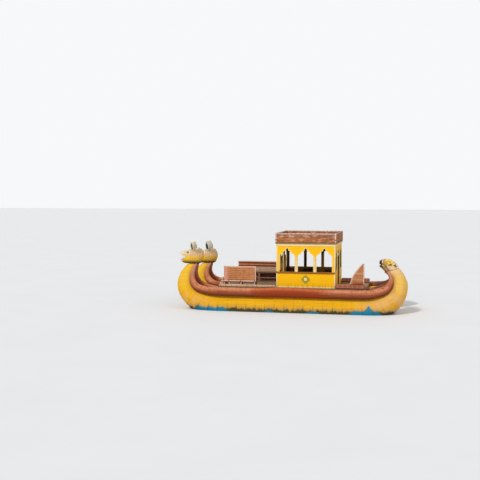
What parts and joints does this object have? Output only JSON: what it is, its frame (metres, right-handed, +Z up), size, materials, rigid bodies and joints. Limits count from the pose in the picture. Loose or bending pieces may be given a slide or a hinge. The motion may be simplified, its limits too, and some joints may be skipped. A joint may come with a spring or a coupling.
{
  "type": "twin-hulled reed passenger boat",
  "caption": "Twin-hulled reed passenger boat with animal-headed ends, arched-window cabin, roof terrace and benches",
  "frame": {"origin": "midway between the hulls, half-way along the boat's length, at the lowest line of the hulls", "axes": "+X to the bow, +Y to port, +Z up"},
  "size_m": [8.78, 3.649, 3.35],
  "materials": {
    "hull_reed": "dyed reed bundle, lengthwise grain, algae at the waterline",
    "roll_reed": "terracotta reed roll, sun-faded crown",
    "head_reed": "yellow and straw reed, bound",
    "cabin_yellow": "yellow paint on board",
    "cream_trim": "cream paint on mouldings and colonnettes",
    "sill_brown": "brown painted timber",
    "woven_reed": "woven reed matting",
    "ornament_green": "painted stepped cross",
    "pale_pole": "weathered poles",
    "seat_reed": "bound reed seat",
    "deck_wood": "weathered boards and matting"
  },
  "bodies": {
    "root": {"aft_bench_port": "seat_reed", "aft_bench_starboard": "seat_reed", "aft_deck": "deck_wood", "aft_wall": "cabin_yellow", "arcade_port": "cabin_yellow", "arcade_starboard": "cabin_yellow", "bow_head_port": "head_reed", "bow_head_starboard": "head_reed", "cabin_floor": "deck_wood", "colonnettes_port": "cream_trim", "colonnettes_starboard": "cream_trim", "corner_posts": "cabin_yellow", "cornice": "cream_trim", "cross_beams": "deck_wood", "fore_back_port": "woven_reed", "fore_back_starboard": "woven_reed", "fore_bench_port": "deck_wood", "fore_bench_starboard": "deck_wood", "fore_deck": "deck_wood", "fore_wall": "cabin_yellow", "hull_port": "hull_reed", "hull_starboard": "hull_reed", "inner_roll_port": "roll_reed", "inner_roll_starboard": "roll_reed", "ladder": "pale_pole", "lower_panel_port": "cabin_yellow", "lower_panel_starboard": "cabin_yellow", "mooring_posts": "pale_pole", "ornament_port": "ornament_green", "ornament_starboard": "ornament_green", "outer_roll_port": "roll_reed", "outer_roll_starboard": "roll_reed", "parapet_aft": "woven_reed", "parapet_fore": "woven_reed", "parapet_port": "woven_reed", "parapet_starboard": "woven_reed", "roof_deck": "deck_wood", "side_rail_port": "pale_pole", "side_rail_starboard": "pale_pole", "sill_port": "sill_brown", "sill_starboard": "sill_brown", "stern_head_port": "head_reed", "stern_head_starboard": "head_reed", "wedge_back": "woven_reed"}
  },
  "joints": []
}
